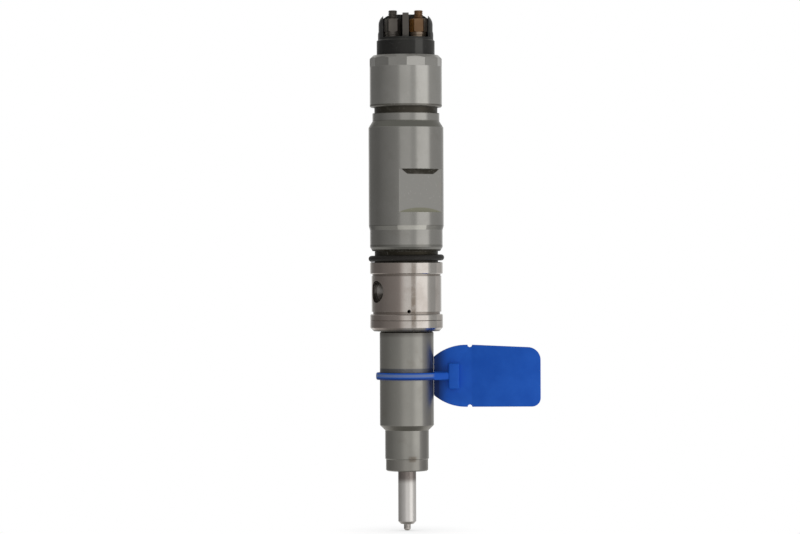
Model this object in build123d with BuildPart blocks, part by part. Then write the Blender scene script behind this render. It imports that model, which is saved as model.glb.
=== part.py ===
from build123d import *
from math import acos, atan2, cos, degrees, hypot, radians, sin
import os

# Common-rail diesel fuel injector with two screw terminals and a plastic seal tag.
# Millimetres. +Z runs up the axis from the nozzle tip to the terminals. The origin is the centre of
# the sealing face under the nozzle retaining nut. The terminals open towards -Y, the tag points to +X.
# Screw threads are plain cylinders at their major diameter.

os.makedirs("parts", exist_ok=True)

# ---------------------------------------------------------------------------------------------------
# Driving dimensions. "_r" is a radius and "_z" a height above the sealing face.
# ---------------------------------------------------------------------------------------------------

# Gaps between pieces
slip = 0.05          # radial gap of pieces that are only put together
lapped = 0.03        # radial gap of lapped guides that move
edge_break = 0.4     # small chamfer on a turned corner

# Directions around the axis, in degrees from +X towards +Y
inlet_angle = 210    # high-pressure inlet
flat_angle = -60     # first clamp flat, at right angles to the inlet
leak_angle = -86     # leak-off hole
drain_angle = 30     # drain passage, opposite the inlet

# Nozzle
tip_z = -23.3
tip_r = 1.325
tip_shoulder_z = -20.9
shank_end_z = -19.7
shank_r = 3.5
shank_relief_r = 3.3        # where the shank passes through the retaining nut
collar_r = 7.15
collar_z = 3.5
collar_top_z = 21.5
guide_r = 2.0
gallery_r = 2.9
gallery_z = 8.75
nozzle_bore_r = 1.75
seat_top_z = -17.5
seat_slope = 3 ** 0.5      # height per radius of a 60 degree seat
sac_r = 0.45
sac_end_z = -22.2
spray_z = -21.4
spray_r = 0.12
spray_count = 8
spray_dip = 15             # degrees below the horizontal

# Needle, spring seat and control piston
needle_r = 1.3
needle_end_r = 0.3
seat_gap = 0.06
needle_neck_r = 1.2
needle_guide_top_z = 21.0
spring_seat_z = 27.5
spring_seat_r = 4.1
spring_seat_thick = 1.8
spring_boss_r = 2.7
spring_boss_height = 1.7
piston_rod_r = 2.0
piston_top_z = 106.0
piston_guide_z = 99.5
piston_guide_r = 2.15 - lapped

# Adapter plate and its locating pins
adapter_top_z = 26.5
adapter_r = 8.65
adapter_hole_r = 1.5
pin_r = 0.8
pin_length = 3.6
body_pin_ring_r = 6.8
nozzle_pin_ring_r = 5.4

# Retaining nut
nut_foot_r = 8.2
nut_foot_z = 4.5
nut_lower_r = 8.5
nut_shoulder_z = 15.8
nut_r = 10.5
nut_top_z = 54.2
nut_thread_r = 8.85
nut_step_z = 21.0
nut_hole_r = 3.65

# Injector body, outside
spigot_r = 8.8
spigot_relief_r = 8.3
body_foot_z = 54.4
land_r = 14.15
lower_land_top_z = 61.0
scribe_z = 58.6
recess_r = 13.6
recess_z = 62.0
recess_top_z = 75.9
recess_groove_r = 13.1
upper_land_z = 76.7
seal_groove_z = 81.3
seal_groove_top_z = 85.6
seal_groove_r = 12.35
collar_chamfer = 1.6
barrel_step_z = 93.8
barrel_z = 95.4
barrel_r = 14.6
barrel_top_z = 133.6
neck_z = 136.1
neck_r = 13.05
neck_top_z = 139.2
thread_relief_r = 12.3
body_thread_r = 12.5
body_top_z = 150.0

# Clamp flats
flat_distance = 11.0
flat_z = 100.6
flat_top_z = 117.4

# Injector body, inside
spring_chamber_r = 4.8
spring_chamber_top_z = 64.0
piston_bore_r = 2.3
valve_bore_r = 4.2
valve_bore_z = 99.0
seal_ring_z = 108.6
seal_ring_bore_r = 5.3
valve_shelf_z = 110.0
clamp_bore_r = 7.55
clamp_bore_top_z = 120.0
valve_room_r = 8.5
guide_shelf_z = 128.0
magnet_bore_r = 11.05

# Fuel passages
inlet_z = 69.8
inlet_recess_r = 4.3
inlet_floor = 11.4         # distance of the recess floor from the axis
inlet_cone_r = 3.2
inlet_bore_r = 1.5
feed_r = 0.9
feed_ring_r = 6.8
nozzle_feed_ring_r = 5.0
throttle_z = 106.5
throttle_r = 0.25
leak_z = 62.2
leak_r = 0.7
drain_ring_r = 8.2
drain_r = 0.75

# Springs: mean coil radius, wire radius and number of turns
nozzle_spring_size = (3.6, 0.7, 10)
preload_shim_z = 62.5
armature_spring_size = (3.7, 0.4, 4)
valve_spring_size = (2.0, 0.4, 7)

# Valve piece, clamp screw and ball
valve_stem_r = 4.0
valve_foot_z = 99.5
valve_flange_r = 7.4
valve_flange_top_z = 113.0
valve_boss_r = 2.6
valve_top_z = 114.5
valve_seat_r = 0.8
outlet_r = 0.2
control_top_z = 107.0
clamp_screw_top_z = 119.5
clamp_socket_flat = 4.5
ball_r = 0.8
ball_z = 114.87
holder_r = 1.6
holder_z = 115.0

# Armature
bolt_r = 1.45
bolt_z = 117.0
bolt_top_z = 138.0
bolt_groove_r = 1.1
guide_hub_z = 118.0
guide_hub_r = 3.6
guide_waist_z = 123.5
guide_waist_r = 6.2
guide_flange_top_z = 130.0
spring_pocket_z = 125.0
spring_pocket_r = 4.4
plate_z = 131.6
plate_top_z = 133.6
plate_r = 8.4
plate_hub_z = 128.4
plate_hub_r = 2.7
stop_washer_r = 2.6
stop_washer_thick = 0.8
shim_top_z = 131.2
shim_bore_r = 9.2

# Magnet
core_z = 133.9
core_top_z = 145.4
core_r = 9.3
core_bore_r = 2.9
slot_r = 4.2
slot_outer_r = 7.7
slot_top_z = 142.0
bobbin_wall = 0.6
bobbin_z = 134.3
winding_r = 7.4
spring_shim_z = 144.6
spring_shim_r = 2.7
sleeve_r = 11.0
sleeve_bore_r = 9.35
sleeve_flange_r = 12.3
sleeve_top_z = 152.0
small_ring_z = 144.7
small_ring_r = 0.5
small_ring_groove_r = 10.0
small_ring_groove_width = 1.4

# Solenoid nut
cap_z = 141.6
cap_top_z = 161.8
cap_r = 14.05
cap_hole_r = 11.4
cap_thread_r = 12.55
cap_sides = 12
cap_sides_z = 157.4
cap_corner_angle = -88.4
cap_chamfer = 1.3

# Terminal block
block_shoulder_z = 156.5
block_r = 11.3
bay_floor_z = 168.7
block_step_z = 167.4
block_upper_r = 10.8
block_wall_r = 10.55
block_round = 4.5
block_top_z = 178.2
rib_half = 1.2
bay_side = 8.7
bay_back_y = 4.2
wall_front_y = -5.0
rib_front_y = -8.5

# Terminals
terminal_x = 5.0
stud_r = 1.75
stud_top_z = 179.4
stud_pin_r = 0.6
stud_anchor_z = 157.0
stud_flange_r = 3.2
stud_flange_top_z = 169.8
washer_r = 3.3
washer_top_z = 170.9
terminal_nut_flat = 3.0
terminal_nut_top_z = 176.1
terminal_nut_turn = 2

# Body O-ring
o_ring_r = 1.2

# Seal tag
tag_z = 36.9
strap_bore_r = 10.9
strap_thick = 1.1
strap_height = 2.8
flag_thick = 1.2
flag_x = 10.7
flag_end_x = 52.2
flag_neck_half = 7.6
flag_half = 12.1
flag_full_x = 23.0
flag_corner_r = 2.4
notch_x = 24.6
notch_r = 0.9
lock_x = 16.2
lock_width = 4.2
lock_height = 10.0
lock_depth = 2.4
insert_width = 2.4
insert_height = 7.6
insert_depth = 1.2


# ---------------------------------------------------------------------------------------------------
# Helpers
# ---------------------------------------------------------------------------------------------------

def spot(radius, angle, height):
    """The point at a radius, a direction in degrees and a height."""
    return (radius * cos(radians(angle)), radius * sin(radians(angle)), height)


def section(points):
    """The closed face through (radius, height) points, ready to be turned about the axis."""
    with BuildSketch(Plane.XZ) as face:
        with BuildLine():
            Polyline(*points, close=True)
        make_face()
    return face.sketch


def tube(inner_r, outer_r, low_z, high_z):
    """The section of a plain ring."""
    return section([(inner_r, low_z), (outer_r, low_z), (outer_r, high_z), (inner_r, high_z)])


def drilling(start, end, radius):
    """A straight drilled passage."""
    path = Vector(*end) - Vector(*start)
    with BuildPart() as hole:
        with BuildSketch(Plane(origin=start, z_dir=path)):
            Circle(radius)
        extrude(amount=path.length)
    return hole.part


def coil(size, low_z, high_z):
    """A spring between two seats, with its ends ground flat."""
    mean_r, wire_r, turns = size
    height = high_z - low_z
    lift = wire_r * 0.6
    with BuildPart() as wire:
        with BuildLine(Plane.XY.offset(low_z + lift)):
            path = Helix(pitch=(height - 2 * lift) / turns, height=height - 2 * lift, radius=mean_r)
        with BuildSketch(Plane(origin=path @ 0, z_dir=path % 0)):
            Circle(wire_r)
        sweep()
        split(bisect_by=Plane.XY.offset(low_z), keep=Keep.TOP)
        split(bisect_by=Plane.XY.offset(high_z), keep=Keep.BOTTOM)
    return wire.part


def finish(part, label):
    """Name a finished piece and write it to its own file."""
    part.label = label
    export_step(part, f"parts/{label}.step")


# Passages that cross more than one piece
body_feed = drilling(spot(feed_ring_r, inlet_angle, adapter_top_z),
                     spot(feed_ring_r, inlet_angle, throttle_z + feed_r), feed_r)
adapter_feed = drilling(spot(nozzle_feed_ring_r, inlet_angle, collar_top_z),
                        spot(feed_ring_r, inlet_angle, adapter_top_z), feed_r)
nozzle_feed = drilling(spot(nozzle_feed_ring_r, inlet_angle, collar_top_z),
                       spot(gallery_r - feed_r, inlet_angle, gallery_z), feed_r)
throttle_feed = drilling(spot(valve_bore_r - slip, inlet_angle, throttle_z),
                         spot(feed_ring_r, inlet_angle, throttle_z), feed_r)

# Where the locating pins stand: two in each joint of the stack
body_pin_spots = [spot(body_pin_ring_r, inlet_angle + turn, adapter_top_z) for turn in (90, -120)]
nozzle_pin_spots = [spot(nozzle_pin_ring_r, inlet_angle + turn, collar_top_z) for turn in (90, -120)]
pin_hole_r = pin_r + slip
pin_hole_half = pin_length / 2 + slip

# ---------------------------------------------------------------------------------------------------
# Nozzle
# ---------------------------------------------------------------------------------------------------

seat_end_z = seat_top_z - (nozzle_bore_r - sac_r) * seat_slope
with BuildPart() as nozzle_body:
    revolve(section([
        (0, collar_top_z), (collar_r - edge_break, collar_top_z), (collar_r, collar_top_z - edge_break),
        (collar_r, collar_z + edge_break), (collar_r - edge_break, collar_z),
        (shank_relief_r, collar_z), (shank_relief_r, 0), (shank_r, 0), (shank_r, shank_end_z),
        (shank_r - 1, shank_end_z - 1), (tip_r, tip_shoulder_z), (tip_r, tip_z), (0, tip_z)]),
        axis=Axis.Z)
    fillet(nozzle_body.edges().group_by(Axis.Z)[0], radius=tip_r * 0.7)
    revolve(section([
        (0, collar_top_z), (guide_r, collar_top_z), (guide_r, gallery_z + 2),
        (gallery_r, gallery_z + 1), (gallery_r, gallery_z - 1), (nozzle_bore_r, gallery_z - 2),
        (nozzle_bore_r, seat_top_z), (sac_r, seat_end_z), (sac_r, sac_end_z + sac_r),
        (0, sac_end_z)]), axis=Axis.Z, mode=Mode.SUBTRACT)
    add(nozzle_feed, mode=Mode.SUBTRACT)
    for turn in range(spray_count):
        spray = spot(cos(radians(spray_dip)), turn * 360 / spray_count, -sin(radians(spray_dip)))
        with BuildSketch(Plane(origin=(0, 0, spray_z), z_dir=spray)):
            Circle(spray_r)
        extrude(amount=2 * tip_r, mode=Mode.SUBTRACT)
    with BuildSketch(Plane.XY.offset(collar_top_z)):
        with Locations(*[Location((x, y)) for x, y, z in nozzle_pin_spots]):
            Circle(pin_hole_r)
    extrude(amount=-pin_hole_half, mode=Mode.SUBTRACT)
finish(nozzle_body.part, "nozzle_body")

# The needle's cone starts where its shank meets the seat, a hair above it
needle_cone_z = seat_top_z - (nozzle_bore_r - needle_r) * seat_slope + seat_gap
needle_tip_z = needle_cone_z - (needle_r - needle_end_r) * seat_slope
with BuildPart() as nozzle_needle:
    revolve(section([
        (0, needle_tip_z), (needle_end_r, needle_tip_z), (needle_r, needle_cone_z),
        (needle_r, gallery_z + 1), (guide_r - lapped, gallery_z + 2.5),
        (guide_r - lapped, needle_guide_top_z), (needle_neck_r, needle_guide_top_z),
        (needle_neck_r, spring_seat_z), (0, spring_seat_z)]), axis=Axis.Z)
finish(nozzle_needle.part, "nozzle_needle")

with BuildPart() as adapter_plate:
    revolve(tube(adapter_hole_r, adapter_r, collar_top_z, adapter_top_z), axis=Axis.Z)
    add(adapter_feed, mode=Mode.SUBTRACT)
    with BuildSketch(Plane.XY.offset(adapter_top_z)):
        with Locations(*[Location((x, y)) for x, y, z in body_pin_spots]):
            Circle(pin_hole_r)
    extrude(amount=-pin_hole_half, mode=Mode.SUBTRACT)
    with BuildSketch(Plane.XY.offset(collar_top_z)):
        with Locations(*[Location((x, y)) for x, y, z in nozzle_pin_spots]):
            Circle(pin_hole_r)
    extrude(amount=pin_hole_half, mode=Mode.SUBTRACT)
    chamfer(adapter_plate.faces().sort_by(Axis.Z)[-1].outer_wire().edges(), edge_break)
    chamfer(adapter_plate.faces().sort_by(Axis.Z)[0].outer_wire().edges(), edge_break)
finish(adapter_plate.part, "adapter_plate")

with BuildPart() as locating_pins:
    for x, y, z in body_pin_spots + nozzle_pin_spots:
        with BuildSketch(Plane.XY.offset(z - pin_length / 2)):
            with Locations((x, y)):
                Circle(pin_r)
        extrude(amount=pin_length)
finish(locating_pins.part, "locating_pins")

shoulder_run = nut_r - nut_lower_r
with BuildPart() as retaining_nut:
    revolve(section([
        (nut_hole_r, 0), (nut_foot_r - edge_break, 0), (nut_foot_r, edge_break),
        (nut_foot_r, nut_foot_z), (nut_lower_r, nut_foot_z + nut_lower_r - nut_foot_r),
        (nut_lower_r, nut_shoulder_z), (nut_r, nut_shoulder_z + shoulder_run),
        (nut_r, nut_top_z - edge_break), (nut_r - edge_break, nut_top_z), (nut_thread_r, nut_top_z),
        (nut_thread_r, nut_step_z), (collar_r + slip, nut_step_z), (collar_r + slip, collar_z),
        (nut_hole_r, collar_z)]), axis=Axis.Z)
finish(retaining_nut.part, "retaining_nut")

# ---------------------------------------------------------------------------------------------------
# Injector body
# ---------------------------------------------------------------------------------------------------

scribe_depth = 0.15
foot_chamfer = 1.4
with BuildPart() as injector_body:
    revolve(section([
        (0, adapter_top_z), (spigot_r - edge_break, adapter_top_z),
        (spigot_r, adapter_top_z + edge_break), (spigot_r, body_foot_z - 3),
        (spigot_relief_r, body_foot_z - 2.5), (spigot_relief_r, body_foot_z),
        (land_r - foot_chamfer, body_foot_z), (land_r, body_foot_z + foot_chamfer),
        (land_r, scribe_z - scribe_depth), (land_r - scribe_depth, scribe_z),
        (land_r, scribe_z + scribe_depth), (land_r, lower_land_top_z - 0.3),
        (land_r - 0.3, lower_land_top_z), (recess_groove_r, lower_land_top_z),
        (recess_groove_r, recess_z), (recess_r, recess_z), (recess_r, recess_top_z),
        (recess_r - 0.3, recess_top_z), (recess_r - 0.3, upper_land_z), (land_r - 0.3, upper_land_z),
        (land_r, upper_land_z + 0.3), (land_r, seal_groove_z - 0.3), (land_r - 0.3, seal_groove_z),
        (seal_groove_r, seal_groove_z), (seal_groove_r, seal_groove_top_z),
        (land_r - collar_chamfer * 0.6, seal_groove_top_z),
        (land_r, seal_groove_top_z + collar_chamfer), (land_r, barrel_step_z), (barrel_r, barrel_z),
        (barrel_r, barrel_top_z), (neck_r, neck_z), (neck_r, neck_top_z),
        (thread_relief_r, neck_top_z), (thread_relief_r, neck_top_z + 2.8),
        (body_thread_r, neck_top_z + 3), (body_thread_r, body_top_z - edge_break),
        (body_thread_r - edge_break, body_top_z), (0, body_top_z)]), axis=Axis.Z)
    # Bores, from the spring chamber up to the magnet
    revolve(section([
        (0, adapter_top_z), (spring_chamber_r, adapter_top_z),
        (spring_chamber_r, spring_chamber_top_z), (piston_bore_r, spring_chamber_top_z),
        (piston_bore_r, valve_bore_z), (valve_bore_r, valve_bore_z), (valve_bore_r, seal_ring_z),
        (seal_ring_bore_r, seal_ring_z), (seal_ring_bore_r, valve_shelf_z),
        (clamp_bore_r, valve_shelf_z), (clamp_bore_r, clamp_bore_top_z),
        (valve_room_r, clamp_bore_top_z), (valve_room_r, guide_shelf_z),
        (magnet_bore_r, guide_shelf_z), (magnet_bore_r, body_top_z), (0, body_top_z)]),
        axis=Axis.Z, mode=Mode.SUBTRACT)
    # Two milled clamp flats
    for turn in (0, 180):
        outward = Vector(*spot(1, flat_angle + turn, 0))
        across = Vector(*spot(1, flat_angle + turn + 90, 0))
        middle = outward * flat_distance + Vector(0, 0, (flat_z + flat_top_z) / 2)
        with BuildSketch(Plane(origin=middle, x_dir=across, z_dir=outward)):
            Rectangle(2 * barrel_r, flat_top_z - flat_z)
        extrude(amount=barrel_r - flat_distance + 1, mode=Mode.SUBTRACT)
    # Side inlet: a round recess, a sealing cone and a bore down to the feed passage
    inward = Vector(*spot(-1, inlet_angle, 0))
    cone_length = (inlet_cone_r - inlet_bore_r) * seat_slope
    with BuildSketch(Plane(origin=spot(barrel_r, inlet_angle, inlet_z), z_dir=inward)):
        Circle(inlet_recess_r)
    extrude(amount=barrel_r - inlet_floor, mode=Mode.SUBTRACT)
    with BuildSketch(Plane(origin=spot(inlet_floor, inlet_angle, inlet_z), z_dir=inward)):
        Circle(inlet_cone_r)
    extrude(amount=cone_length, taper=30, mode=Mode.SUBTRACT)
    add(drilling(spot(inlet_floor, inlet_angle, inlet_z), spot(feed_ring_r, inlet_angle, inlet_z),
                 inlet_bore_r), mode=Mode.SUBTRACT)
    # Feed, leak-off and drain passages
    add(body_feed, mode=Mode.SUBTRACT)
    add(throttle_feed, mode=Mode.SUBTRACT)
    add(drilling(spot(spring_chamber_r - 1, leak_angle, leak_z), spot(barrel_r, leak_angle, leak_z),
                 leak_r), mode=Mode.SUBTRACT)
    add(drilling(spot(spring_chamber_r - 1, drain_angle, leak_z),
                 spot(drain_ring_r + drain_r, drain_angle, leak_z), drain_r), mode=Mode.SUBTRACT)
    add(drilling(spot(drain_ring_r, drain_angle, leak_z),
                 spot(drain_ring_r, drain_angle, clamp_bore_top_z), drain_r), mode=Mode.SUBTRACT)
    with BuildSketch(Plane.XY.offset(adapter_top_z)):
        with Locations(*[Location((x, y)) for x, y, z in body_pin_spots]):
            Circle(pin_hole_r)
    extrude(amount=pin_hole_half, mode=Mode.SUBTRACT)
finish(injector_body.part, "injector_body")

with BuildPart() as body_o_ring:
    with BuildSketch(Plane.XZ):
        with Locations((seal_groove_r + o_ring_r, (seal_groove_z + seal_groove_top_z) / 2)):
            Circle(o_ring_r)
    revolve(axis=Axis.Z)
finish(body_o_ring.part, "body_o_ring")

# ---------------------------------------------------------------------------------------------------
# Needle spring and control piston
# ---------------------------------------------------------------------------------------------------

spring_seat_top_z = spring_seat_z + spring_seat_thick
piston_z = spring_seat_top_z + spring_boss_height
with BuildPart() as spring_seat:
    revolve(section([
        (0, spring_seat_z), (spring_seat_r, spring_seat_z), (spring_seat_r, spring_seat_top_z),
        (spring_boss_r, spring_seat_top_z), (spring_boss_r, piston_z), (0, piston_z)]),
        axis=Axis.Z)
finish(spring_seat.part, "spring_seat")

finish(coil(nozzle_spring_size, spring_seat_top_z, preload_shim_z), "nozzle_spring")

with BuildPart() as preload_shim:
    revolve(tube(piston_rod_r + 0.5, spring_chamber_r - 0.5, preload_shim_z, spring_chamber_top_z),
            axis=Axis.Z)
finish(preload_shim.part, "preload_shim")

with BuildPart() as control_piston:
    revolve(section([
        (0, piston_z), (piston_rod_r, piston_z), (piston_rod_r, piston_guide_z - 1),
        (piston_guide_r, piston_guide_z), (piston_guide_r, piston_top_z - edge_break),
        (piston_guide_r - edge_break, piston_top_z), (0, piston_top_z)]), axis=Axis.Z)
finish(control_piston.part, "control_piston")

# ---------------------------------------------------------------------------------------------------
# Control valve
# ---------------------------------------------------------------------------------------------------

seat_foot_z = valve_top_z - (valve_seat_r - outlet_r)
with BuildPart() as valve_piece:
    revolve(section([
        (0, valve_foot_z), (valve_stem_r, valve_foot_z), (valve_stem_r, valve_shelf_z),
        (valve_flange_r, valve_shelf_z), (valve_flange_r, valve_flange_top_z),
        (valve_boss_r, valve_flange_top_z), (valve_boss_r, valve_top_z), (0, valve_top_z)]),
        axis=Axis.Z)
    revolve(section([
        (0, valve_foot_z), (piston_guide_r + lapped, valve_foot_z),
        (piston_guide_r + lapped, control_top_z), (outlet_r, control_top_z), (outlet_r, seat_foot_z),
        (valve_seat_r, valve_top_z), (0, valve_top_z)]), axis=Axis.Z, mode=Mode.SUBTRACT)
    add(drilling(spot(piston_guide_r - 1, inlet_angle, throttle_z),
                 spot(valve_stem_r + 1, inlet_angle, throttle_z), throttle_r), mode=Mode.SUBTRACT)
finish(valve_piece.part, "valve_piece")

with BuildPart() as valve_seal_ring:
    revolve(tube(valve_stem_r + slip, seal_ring_bore_r - slip, seal_ring_z, valve_shelf_z),
            axis=Axis.Z)
finish(valve_seal_ring.part, "valve_seal_ring")

with BuildPart() as valve_clamp_screw:
    with BuildSketch(Plane.XY.offset(valve_flange_top_z)):
        Circle(clamp_bore_r - slip)
        RegularPolygon(radius=clamp_socket_flat, side_count=6, major_radius=False,
                       mode=Mode.SUBTRACT)
    extrude(amount=clamp_screw_top_z - valve_flange_top_z)
finish(valve_clamp_screw.part, "valve_clamp_screw")

with BuildPart() as valve_ball:
    with Locations((0, 0, ball_z)):
        Sphere(ball_r)
finish(valve_ball.part, "valve_ball")

with BuildPart() as ball_holder:
    revolve(section([
        (0, holder_z), (holder_r - edge_break, holder_z), (holder_r, holder_z + edge_break),
        (holder_r, bolt_z), (0, bolt_z)]), axis=Axis.Z)
    with Locations((0, 0, ball_z)):
        Sphere(ball_r, mode=Mode.SUBTRACT)
finish(ball_holder.part, "ball_holder")

stop_top_z = plate_top_z + stop_washer_thick
with BuildPart() as armature_bolt:
    revolve(section([
        (0, bolt_z), (bolt_r, bolt_z), (bolt_r, plate_top_z), (bolt_groove_r, plate_top_z),
        (bolt_groove_r, stop_top_z), (bolt_r, stop_top_z), (bolt_r, bolt_top_z - edge_break),
        (bolt_r - edge_break, bolt_top_z), (0, bolt_top_z)]), axis=Axis.Z)
finish(armature_bolt.part, "armature_bolt")

with BuildPart() as armature_guide:
    revolve(section([
        (bolt_r + lapped, guide_hub_z), (guide_hub_r, guide_hub_z), (guide_hub_r, guide_waist_z),
        (guide_waist_r, guide_waist_z), (guide_waist_r, guide_shelf_z),
        (sleeve_r - slip, guide_shelf_z), (sleeve_r - slip, guide_flange_top_z),
        (spring_pocket_r, guide_flange_top_z), (spring_pocket_r, spring_pocket_z),
        (bolt_r + lapped, spring_pocket_z)]), axis=Axis.Z)
    with BuildSketch(Plane.XY.offset(guide_shelf_z)):
        with PolarLocations((guide_waist_r + valve_room_r) / 2, 6):
            Circle(0.9)
    extrude(amount=guide_flange_top_z - guide_shelf_z, mode=Mode.SUBTRACT)
finish(armature_guide.part, "armature_guide")

finish(coil(armature_spring_size, spring_pocket_z, plate_z), "armature_spring")

with BuildPart() as armature_plate:
    revolve(section([
        (bolt_r + lapped, plate_hub_z), (plate_hub_r, plate_hub_z), (plate_hub_r, plate_z),
        (plate_r, plate_z), (plate_r, plate_top_z), (bolt_r + lapped, plate_top_z)]), axis=Axis.Z)
    with BuildSketch(Plane.XY.offset(plate_z)):
        with PolarLocations(plate_r, 6):
            Rectangle(5.5, 1.2)
    extrude(amount=plate_top_z - plate_z, mode=Mode.SUBTRACT)
finish(armature_plate.part, "armature_plate")

with BuildPart() as stop_washer:
    with BuildSketch(Plane.XY.offset(plate_top_z)):
        Circle(stop_washer_r)
        Circle(bolt_groove_r + slip, mode=Mode.SUBTRACT)
        with Locations((stop_washer_r, 0)):
            Rectangle(2 * stop_washer_r, 2 * (bolt_groove_r + slip), mode=Mode.SUBTRACT)
    extrude(amount=stop_washer_thick)
finish(stop_washer.part, "stop_washer")

with BuildPart() as lift_shim:
    revolve(tube(shim_bore_r, sleeve_r - slip, guide_flange_top_z, shim_top_z), axis=Axis.Z)
finish(lift_shim.part, "lift_shim")

# ---------------------------------------------------------------------------------------------------
# Magnet
# ---------------------------------------------------------------------------------------------------

terminal_spots = {"left": -terminal_x, "right": terminal_x}
with BuildPart() as magnet_core:
    revolve(tube(core_bore_r, core_r, core_z, core_top_z), axis=Axis.Z)
    revolve(tube(slot_r, slot_outer_r, core_z, slot_top_z), axis=Axis.Z, mode=Mode.SUBTRACT)
    with BuildSketch(Plane.XY.offset(slot_top_z)):
        with Locations(*[(x, 0) for x in terminal_spots.values()]):
            Circle(stud_pin_r + 0.4)
    extrude(amount=core_top_z - slot_top_z, mode=Mode.SUBTRACT)
finish(magnet_core.part, "magnet_core")

bobbin_r = slot_r + 2 * slip
with BuildPart() as coil_bobbin:
    revolve(section([
        (bobbin_r, bobbin_z), (slot_outer_r - 2 * slip, bobbin_z),
        (slot_outer_r - 2 * slip, bobbin_z + bobbin_wall),
        (bobbin_r + bobbin_wall, bobbin_z + bobbin_wall),
        (bobbin_r + bobbin_wall, slot_top_z - bobbin_wall),
        (slot_outer_r - 2 * slip, slot_top_z - bobbin_wall), (slot_outer_r - 2 * slip, slot_top_z),
        (bobbin_r, slot_top_z)]), axis=Axis.Z)
finish(coil_bobbin.part, "coil_bobbin")

with BuildPart() as coil_winding:
    revolve(tube(bobbin_r + bobbin_wall + slip, winding_r, bobbin_z + bobbin_wall,
                 slot_top_z - bobbin_wall), axis=Axis.Z)
finish(coil_winding.part, "coil_winding")

finish(coil(valve_spring_size, stop_top_z, spring_shim_z), "valve_spring")

with BuildPart() as spring_shim:
    revolve(tube(1, spring_shim_r, spring_shim_z, core_top_z), axis=Axis.Z)
finish(spring_shim.part, "spring_shim")

groove_half = small_ring_groove_width / 2
with BuildPart() as magnet_sleeve:
    revolve(section([
        (sleeve_bore_r, shim_top_z), (sleeve_r, shim_top_z), (sleeve_r, small_ring_z - groove_half),
        (small_ring_groove_r, small_ring_z - groove_half),
        (small_ring_groove_r, small_ring_z + groove_half), (sleeve_r, small_ring_z + groove_half),
        (sleeve_r, body_top_z), (sleeve_flange_r, body_top_z), (sleeve_flange_r, sleeve_top_z),
        (sleeve_bore_r, sleeve_top_z)]), axis=Axis.Z)
finish(magnet_sleeve.part, "magnet_sleeve")

with BuildPart() as solenoid_o_ring:
    with BuildSketch(Plane.XZ):
        with Locations((small_ring_groove_r + small_ring_r, small_ring_z)):
            Circle(small_ring_r)
    revolve(axis=Axis.Z)
finish(solenoid_o_ring.part, "solenoid_o_ring")

with BuildPart() as solenoid_nut:
    revolve(section([
        (cap_thread_r, cap_z), (cap_r - edge_break, cap_z), (cap_r, cap_z + edge_break),
        (cap_r, cap_top_z - cap_chamfer), (cap_r - cap_chamfer, cap_top_z), (cap_hole_r, cap_top_z),
        (cap_hole_r, block_shoulder_z), (cap_thread_r, block_shoulder_z)]), axis=Axis.Z)
    with BuildSketch(Plane.XY.offset(cap_sides_z)):
        Circle(cap_r + 1)
        RegularPolygon(radius=cap_r, side_count=cap_sides, rotation=cap_corner_angle,
                       mode=Mode.SUBTRACT)
    extrude(amount=cap_top_z - cap_sides_z, mode=Mode.SUBTRACT)
finish(solenoid_nut.part, "solenoid_nut")

# ---------------------------------------------------------------------------------------------------
# Terminal block
# ---------------------------------------------------------------------------------------------------

round_z = block_top_z - block_round
round_x = block_wall_r - block_round
with BuildPart() as terminal_block:
    with BuildSketch(Plane.XZ):
        with BuildLine():
            Polyline(
                (round_x, block_top_z), (0, block_top_z), (0, core_top_z),
                (sleeve_bore_r - slip, core_top_z), (sleeve_bore_r - slip, sleeve_top_z),
                (sleeve_flange_r, sleeve_top_z), (sleeve_flange_r, block_shoulder_z),
                (block_r, block_shoulder_z), (block_r, block_step_z),
                (block_upper_r, block_step_z + block_r - block_upper_r),
                (block_upper_r, bay_floor_z + 1.5), (block_wall_r, bay_floor_z + 2.5),
                (block_wall_r, round_z))
            RadiusArc((block_wall_r, round_z), (round_x, block_top_z), -block_round)
        make_face()
    revolve(axis=Axis.Z)
    # One bay for each terminal, open at the front and the top
    bay_front_y = -block_r - 1
    with BuildSketch(Plane.XY.offset(bay_floor_z)):
        for side in (-1, 1):
            with Locations((side * (rib_half + bay_side) / 2, (bay_front_y + bay_back_y) / 2)):
                RectangleRounded(bay_side - rib_half, bay_back_y - bay_front_y, 0.6)
            with Locations((side * (bay_side + block_r) / 2, (bay_front_y + wall_front_y) / 2)):
                Rectangle(block_r - bay_side + 2, wall_front_y - bay_front_y)
        with Locations((0, (bay_front_y + rib_front_y) / 2)):
            Rectangle(4 * rib_half, rib_front_y - bay_front_y)
    extrude(amount=block_top_z - bay_floor_z, mode=Mode.SUBTRACT)
    # Holes for the terminal studs
    for x in terminal_spots.values():
        add(drilling((x, 0, core_top_z), (x, 0, stud_anchor_z), stud_pin_r + slip),
            mode=Mode.SUBTRACT)
        add(drilling((x, 0, stud_anchor_z), (x, 0, bay_floor_z), stud_r + slip), mode=Mode.SUBTRACT)
finish(terminal_block.part, "terminal_block")

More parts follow.
